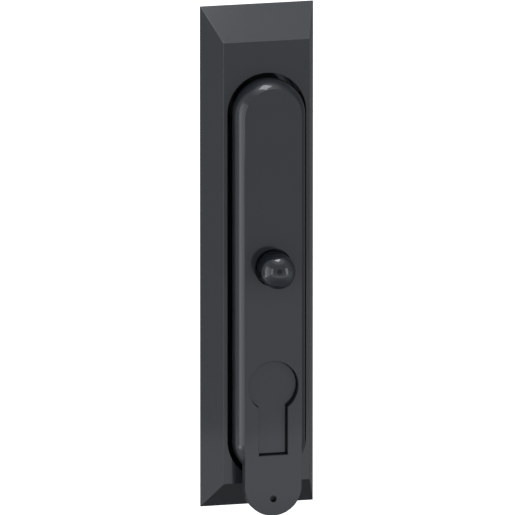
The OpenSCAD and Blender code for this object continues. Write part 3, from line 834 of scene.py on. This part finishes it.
def make_blank():
    """Closed piece behind the profile opening; its flange and boss are hidden in the lever."""
    piece = keyhole_plate(-BLANK_GAP, BLANK_Y, PLATE_BACK + SINK)
    wings = (-BLANK_FLANGE_HALF_W, BLANK_FLANGE_HALF_W)
    flange = fuse(
        keyhole_plate(BLANK_LIP, PLATE_BACK, BLANK_BACK),
        block(wings, (PLATE_BACK, BLANK_BACK), (PROFILE_LOW - BLANK_LIP, PROFILE_Z)),
    )
    limits = (PLATE_BACK - PAST, BLANK_BACK + PAST)
    keep_inside(flange, long_plate(CAVITY_R - BLANK_FLANGE_GAP, *limits))
    fuse(piece, flange, post(BLANK_BOSS_R, PLATE_BACK, COVER_FRONT, z=BLANK_BOSS_Z))
    hole_end = BLANK_Y + BLANK_BOSS_SCREW_TIP - SCREW_TIP_GAP
    cut(
        piece,
        post(COVER_SCREW_R, hole_end, COVER_FRONT + PAST, z=BLANK_BOSS_Z, count=HOLE),
        *[post(BLANK_SCREW_R + BLANK_HOLE_GAP, *limits, x, z, HOLE) for x, z in BLANK_SCREWS],
    )
    return finish(piece, "cylinder_blank", edge=0.12)


def make_ball():
    """Ball on its neck, bored from behind for the stem."""
    arc = sweep(-pi / 2, acos(NECK_R / BALL_R), 5 * EDGE_STEPS)
    ball = [(max(BALL_R * cos(a), 0), BALL_Y + BALL_R * sin(a)) for a in arc]
    profile = ball + [(NECK_R, NECK_BACK), (STEM_R, NECK_BACK), (STEM_R, STEM_TIP), (0, STEM_TIP)]
    return finish(turned("ball", profile, count=FINE), "ball_knob", edge=0.12)


# Screws and spring, by geometry nodes


def start_tree(name, sizes):
    """A geometry tree with a named input for each size; returns it with its inputs."""
    tree = bpy.data.node_groups.new(name, "GeometryNodeTree")
    tree.interface.new_socket("Geometry", in_out="OUTPUT", socket_type="NodeSocketGeometry")
    tree.interface.new_socket("Geometry", in_out="INPUT", socket_type="NodeSocketGeometry")
    for label, kind in sizes.items():
        tree.interface.new_socket(label, in_out="INPUT", socket_type="NodeSocket" + kind)
    return tree, add_node(tree, "NodeGroupInput").outputs


def end_tree(tree, geometry, slot):
    """Ends a geometry tree: real geometry, in the slot's finish."""
    whole = add_node(tree, "GeometryNodeRealizeInstances", {}, {"Geometry": geometry}).outputs[0]
    coated = {"Geometry": whole, "Material": FINISHES[slot]}
    whole = add_node(tree, "GeometryNodeSetMaterial", {}, coated).outputs[0]
    add_node(tree, "NodeGroupOutput", {}, {"Geometry": whole})
    return tree


def grow(piece, tree, sizes):
    """Runs the tree on the piece with these sizes, and keeps the result as a plain mesh."""
    change = piece.modifiers.new("grow", "NODES")
    change.node_group = tree
    for item in tree.interface.items_tree:
        if item.in_out == "INPUT" and item.name in sizes:
            change[item.identifier] = sizes[item.name]
    bake(piece)
    return piece


def screw_tree():
    """A screw on every point, each turned by chance about its own axis."""
    tree, given = start_tree("screws_on_points", {"Screw": "Object", "Seed": "Int"})
    shown = {"Object": given["Screw"], "As Instance": True}
    screw = add_node(tree, "GeometryNodeObjectInfo", {}, shown).outputs["Geometry"]
    chance = {3: pi, 8: given["Seed"]}
    turn = add_node(tree, "FunctionNodeRandomValue", {"data_type": "FLOAT"}, chance).outputs[1]
    turn = add_node(tree, "ShaderNodeCombineXYZ", {}, {"Y": turn}).outputs[0]
    placing = {"Points": given["Geometry"], "Instance": screw, "Rotation": turn}
    placed = add_node(tree, "GeometryNodeInstanceOnPoints", {}, placing).outputs[0]
    return end_tree(tree, placed, "zinc_plated_steel")


def coil_tree():
    """A round wire wound about Y, with its end turns lying flat."""
    labels = ("Coil radius", "Wire radius", "Turns", "Front", "Back")
    tree, given = start_tree("coil_spring", {label: "Float" for label in labels})
    line = add_node(tree, "GeometryNodeCurvePrimitiveLine").outputs[0]
    steps = {"Curve": line, "Count": SPRING_TURNS * TURN_STEPS + 1}
    line = add_node(tree, "GeometryNodeResampleCurve", {}, steps).outputs[0]
    along = add_node(tree, "GeometryNodeSplineParameter").outputs["Factor"]
    angle = maths(tree, "MULTIPLY", maths(tree, "MULTIPLY", along, given["Turns"]), 2 * pi)
    rising = {
        "Value": along,
        "From Min": SPRING_FLAT,
        "From Max": 1 - SPRING_FLAT,
        "To Min": given["Front"],
        "To Max": given["Back"],
    }
    place = add_node(tree, "ShaderNodeCombineXYZ", {}, {
        "X": maths(tree, "MULTIPLY", maths(tree, "COSINE", angle), given["Coil radius"]),
        "Y": add_node(tree, "ShaderNodeMapRange", {}, rising).outputs[0],
        "Z": maths(tree, "MULTIPLY", maths(tree, "SINE", angle), given["Coil radius"]),
    }).outputs[0]
    bending = {"Geometry": line, "Position": place}
    line = add_node(tree, "GeometryNodeSetPosition", {}, bending).outputs[0]
    wire = {"Resolution": WIRE_CORNERS, "Radius": given["Wire radius"]}
    wire = add_node(tree, "GeometryNodeCurvePrimitiveCircle", {}, wire).outputs[0]
    bent = {"Curve": line, "Profile Curve": wire, "Fill Caps": True}
    return end_tree(tree, add_node(tree, "GeometryNodeCurveToMesh", {}, bent).outputs[0], "spring_steel")


def points(name, places):
    """Loose points at each (x, z) of places."""
    bm = bmesh.new()
    for x, z in places:
        bm.verts.new(Vector((x, 0, z)) * MM)
    return new_piece(name, bm)


def cross_slot(r, y):
    """Cutters for the cross in a screw head of radius r whose face is at y."""
    reach, half = r * CROSS_REACH, r * CROSS_HALF
    depth = (y - r * CROSS_DEPTH, y + PAST)
    return block((-reach, reach), depth, (-half, half)), block((-half, half), depth, (-reach, reach))


def lay_screws(screw, places, seed):
    """The screw laid at every (x, z) of places."""
    laid = grow(points("laid", places), SCREW_TREE, {"Screw": screw, "Seed": seed})
    bpy.data.objects.remove(screw)
    return laid


def sunk_screw(tip):
    """Countersunk screw in the back plate, from its tip to the lever's back."""
    r, head = COVER_SCREW_R, COVER_SCREW_HEAD_R
    screw = turned("sunk", [
        (0, tip),
        (r - SCREW_CHAMFER, tip),
        (r - FIT, tip + SCREW_CHAMFER),
        (r - FIT, COVER_FRONT),
        (r, COVER_FRONT),
        (head, LEVER_BACK - COVER_SCREW_HEAD_EDGE),
        (head, LEVER_BACK),
        (0, LEVER_BACK),
    ], count=HEAD)
    return cut(screw, *cross_slot(head, LEVER_BACK))


def domed_screw(tip):
    """Screw with a domed head on the blank's flange."""
    r, head = BLANK_SCREW_R - FIT, BLANK_SCREW_HEAD_R
    top = BLANK_BACK + BLANK_SCREW_HEAD_H
    edge = top - BLANK_SCREW_DOME
    shank = [(0, tip), (r - SCREW_CHAMFER, tip), (r, tip + SCREW_CHAMFER)]
    shank += [(r, BLANK_BACK), (head, BLANK_BACK)]
    dome = [(head * cos(a), edge + BLANK_SCREW_DOME * sin(a)) for a in sweep(0, pi / 2, EDGE_STEPS)]
    screw = turned("domed", shank + dome[:-1] + [(0, top)], count=HEAD)
    return cut(screw, *cross_slot(head, top))


def make_screws():
    """Five countersunk screws in the back plate, and four round-headed ones in the blank."""
    sunk = lay_screws(sunk_screw(PLATE_BACK - COVER_SCREW_DEPTH), COVER_SCREWS, 3)
    fuse(sunk, lay_screws(sunk_screw(BLANK_Y + BLANK_BOSS_SCREW_TIP), [(0.0, BLANK_BOSS_Z)], 5))
    finish(sunk, "plate_screws", edge=0.05)
    domed = lay_screws(domed_screw(PLATE_BACK - BLANK_SCREW_DEPTH), BLANK_SCREWS, 8)
    finish(domed, "blank_screws", edge=0.05)


def make_spring():
    """Coil between the ball's neck and the back plate; it shortens as the button goes in."""
    wire = SPRING_WIRE * MM
    coil = grow(points("coil", [(0, 0)]), coil_tree(), {
        "Coil radius": SPRING_R * MM,
        "Wire radius": wire,
        "Turns": float(SPRING_TURNS),
        "Front": spring_low.y * MM + wire,
        "Back": spring_high.y * MM - wire,
    })
    finish(coil, "button_spring", edge=0)
    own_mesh(coil)


# Turned and moulded small pieces


def threaded_insert(z):
    """Brass insert with a cut thread, chamfered at the mouth."""
    turns = INSERT_L / THREAD_PITCH
    steps = round(turns * EDGE_STEPS)
    height = THREAD_MAJOR - THREAD_MINOR

    def groove(angle, share):
        """Radius of the bore at this angle and share of the length."""
        phase = (share * turns - angle / (2 * pi)) % 1
        mouth = max(0.0, 1 - (1 - share) * INSERT_L / height)
        return THREAD_MINOR + height * max(1 - abs(2 * phase - 1), mouth)

    bore = []
    for k in range(steps + 1):
        share = k / steps
        spots = [(groove(2 * pi * i / HEAD, share), 2 * pi * i / HEAD) for i in range(HEAD)]
        bore.append([(r * cos(a), -INSERT_L * (1 - share), z + r * sin(a)) for r, a in spots])
    outside = [(INSERT_R, 0.0), (INSERT_R, -INSERT_L)]
    return through("insert", bore + [round_ring(r, y, 0, z, HEAD) for r, y in outside], closed=True)


def make_inserts():
    """Both inserts of the housing."""
    return finish(fuse(*[threaded_insert(z) for z in FIX_Z]), "threaded_inserts", edge=0)


def buffer(r, z):
    """Rubber cap pushed on a post, with a rounded front."""
    out, bore = r + BUFFER_WALL, r + FIT
    end, corner = BOSS_FRONT - FIT, BUFFER_ROUND
    arc = sweep(0, pi / 2, EDGE_STEPS)
    front = [(out - corner + corner * sin(a), BUFFER_FRONT + corner - corner * cos(a)) for a in arc]
    inside = [(out, BUFFER_BACK), (bore, BUFFER_BACK), (bore, end), (0, end)]
    return turned("buffer", [(0, BUFFER_FRONT)] + front + inside, z=z, count=BUFFER_CORNERS)


def make_buffers():
    """Both buffers in the recess."""
    both = fuse(buffer(BOSS_R, FIX_Z[1]), buffer(BUFFER_POST_R, BUFFER_Z))
    return finish(both, "buffers", edge=0.12)


def make_wave_washer():
    """Thin ring bent in three waves."""
    count = HEAD * WASHER_WAVES
    angles = [2 * pi * i / count for i in range(count)]
    middle = FLANGE_FRONT - WASHER_ROOM / 2

    def ring(r, side):
        level = middle + side * WASHER_T / 2
        return [
            (r * cos(a), level + WASHER_WAVE * sin(WASHER_WAVES * a), UPPER_Z + r * sin(a))
            for a in angles
        ]

    section = [(WASHER_IN, -1), (WASHER_OUT, -1), (WASHER_OUT, 1), (WASHER_IN, 1)]
    rings = [ring(r, side) for r, side in section]
    return finish(through("wave_washer", rings, closed=True), "wave_washer", edge=0.05)


SCREW_TREE = screw_tree()
make_lever()
make_blank()
make_ball()
make_screws()
make_spring()
make_inserts()
make_buffers()
make_wave_washer()

# The other nodes, by the radius of their edges
COPIES = {
    0.04: ["catch_spring", "spindle_seal", "button_stem"],
    0.12: [
        "spindle", "spindle_bush", "circlip", "stop_disc",
        "rod_cam", "rod_pins", "cam_washer", "cam_screw",
    ],
    0.1: ["hinge_pin", "lever_back_plate", "catch_screw"],
}
for edge, nodes in COPIES.items():
    for node in nodes:
        finish(cad_copy(node), node, edge=edge, even=False)


# Stage, light and camera


def look_back(thing, way, distance, middle=(0, 0, 0)):
    """Puts a lamp or camera at distance along way from the middle, and turns it to look back."""
    thing.location = Vector(middle) + way * distance
    thing.rotation_euler = (-way).to_track_quat("-Z", "Y").to_euler()
    bpy.context.scene.collection.objects.link(thing)


def soft_lamp(name, turn, lift, distance, width, height, strength):
    """A soft box that looks at the lock from turn degrees (0 is +X, 90 is +Y) and lift degrees up.

    Its face is strength times as bright as white paper; width and height are in degrees as the
    lock sees them.
    """
    data = bpy.data.lights.new(name, "AREA")
    data.shape = "RECTANGLE"
    data.size = 2 * distance * tan(radians(width / 2))
    data.size_y = 2 * distance * tan(radians(height / 2))
    data.energy = strength * pi * data.size * data.size_y
    data.color = sheen(LAMP_COLOUR)[:3]
    lamp = bpy.data.objects.new(name, data)
    a, b = radians(turn), radians(lift)
    look_back(lamp, Vector((cos(a) * cos(b), sin(a) * cos(b), sin(b))), distance)
    lamp.visible_camera = False


def ramp(tree, value, low, high, first, last):
    """Smooth change from first to last while value goes from low to high."""
    inputs = {"Value": value, "From Min": low, "From Max": high, "To Min": first, "To Max": last}
    return add_node(tree, "ShaderNodeMapRange", {"interpolation_type": "SMOOTHSTEP"}, inputs).outputs[0]


def multiply(tree, *factors):
    """The product of all factors."""
    product = factors[0]
    for factor in factors[1:]:
        product = maths(tree, "MULTIPLY", product, factor)
    return product


def light_the_room():
    """White for the camera and through glass; mirrors see a studio, dim below and behind the lock."""
    world = bpy.data.worlds.new("studio")
    bpy.context.scene.world = world
    world.use_nodes = True
    tree = world.node_tree
    tree.nodes.clear()
    way = add_node(tree, "ShaderNodeTexCoord").outputs["Generated"]
    height = add_node(tree, "ShaderNodeSeparateXYZ", {}, {"Vector": way}).outputs["Z"]

    def towards(x, y, z):
        """Cosine of the angle between the ray and this direction."""
        settings = {"operation": "DOT_PRODUCT"}
        inputs = {0: way, 1: Vector((x, y, z)).normalized()}
        return add_node(tree, "ShaderNodeVectorMath", settings, inputs).outputs["Value"]

    below = ramp(tree, height, -0.95, -0.3, 0.3, 0.98)
    level = ramp(tree, height, -0.15, 0.25, 1.0, 0.8)
    above = ramp(tree, height, 0.75, 1.0, 1.0, 2.35)
    behind = ramp(tree, towards(0.41, 0.91, 0), -0.1, 0.8, 1.0, 0.13)
    beside = ramp(tree, towards(-0.79, 0.57, -0.21), 0.955, 0.985, 1.0, 0.5)
    lens = ramp(tree, towards(-0.12, -0.97, 0.19), 0.93, 0.98, 1.0, 0.25)
    mirror = multiply(tree, below, level, above, behind, beside, lens)
    ray = add_node(tree, "ShaderNodeLightPath")
    seen = maths(tree, "MAXIMUM", ray.outputs["Is Camera Ray"], ray.outputs["Is Transmission Ray"])
    glossy = {"Factor": ray.outputs["Is Glossy Ray"], 2: AMBIENT, 3: mirror}
    light = add_node(tree, "ShaderNodeMix", {}, glossy).outputs[0]
    light = add_node(tree, "ShaderNodeMix", {}, {"Factor": seen, 2: light, 3: 1.0}).outputs[0]
    hue = mix_colours(tree, seen, LAMP_COLOUR, WHITE)
    studio = add_node(tree, "ShaderNodeBackground", {}, {"Color": hue, "Strength": light}).outputs[0]
    add_node(tree, "ShaderNodeOutputWorld", {}, {"Surface": studio})


def lay_floor():
    """A pale matt floor well below the lock, which hangs on its back face. From below it is clear."""
    bm = bmesh.new()
    corners = [(-1, -1), (1, -1), (1, 1), (-1, 1)]
    bm.faces.new([bm.verts.new((x * FLOOR_HALF, y * FLOOR_HALF, FLOOR_Z)) for x, y in corners])
    floor = new_piece("studio_floor", bm)
    material, tree, _ = start_finish("pale_floor")
    camera_ray = add_node(tree, "ShaderNodeLightPath").outputs["Is Camera Ray"]
    under = add_node(tree, "ShaderNodeNewGeometry").outputs["Backfacing"]
    end_finish(tree, {
        "Base Color": sheen(PAPER),
        "Roughness": 0.9,
        "Emission Color": sheen(WHITE),
        "Emission Strength": maths(tree, "MULTIPLY", camera_ray, FLOOR_GLOW),
        "Alpha": maths(tree, "SUBTRACT", 1.0, under),
    })
    floor.data.materials.append(material)
    floor.visible_glossy = False


def place_camera():
    """Long lens at the photograph's angle: 15 degrees to the left and 12.4 degrees up."""
    data = bpy.data.cameras.new("camera")
    data.sensor_width = SENSOR_W
    data.lens = SENSOR_W * CAMERA_DISTANCE / FRAME_WIDTH
    data.clip_end = CAMERA_REACH
    camera = bpy.data.objects.new("camera", data)
    turn, lift = radians(CAMERA_TURN), radians(CAMERA_LIFT)
    way = Vector((sin(turn) * cos(lift), -cos(turn) * cos(lift), sin(lift)))
    look_back(camera, way, CAMERA_DISTANCE, Vector(AIM) * MM)
    bpy.context.scene.camera = camera


light_the_room()
lay_floor()
place_camera()
for lamp in LAMPS:
    soft_lamp(*lamp)

bpy.context.scene.view_settings.view_transform = "Standard"
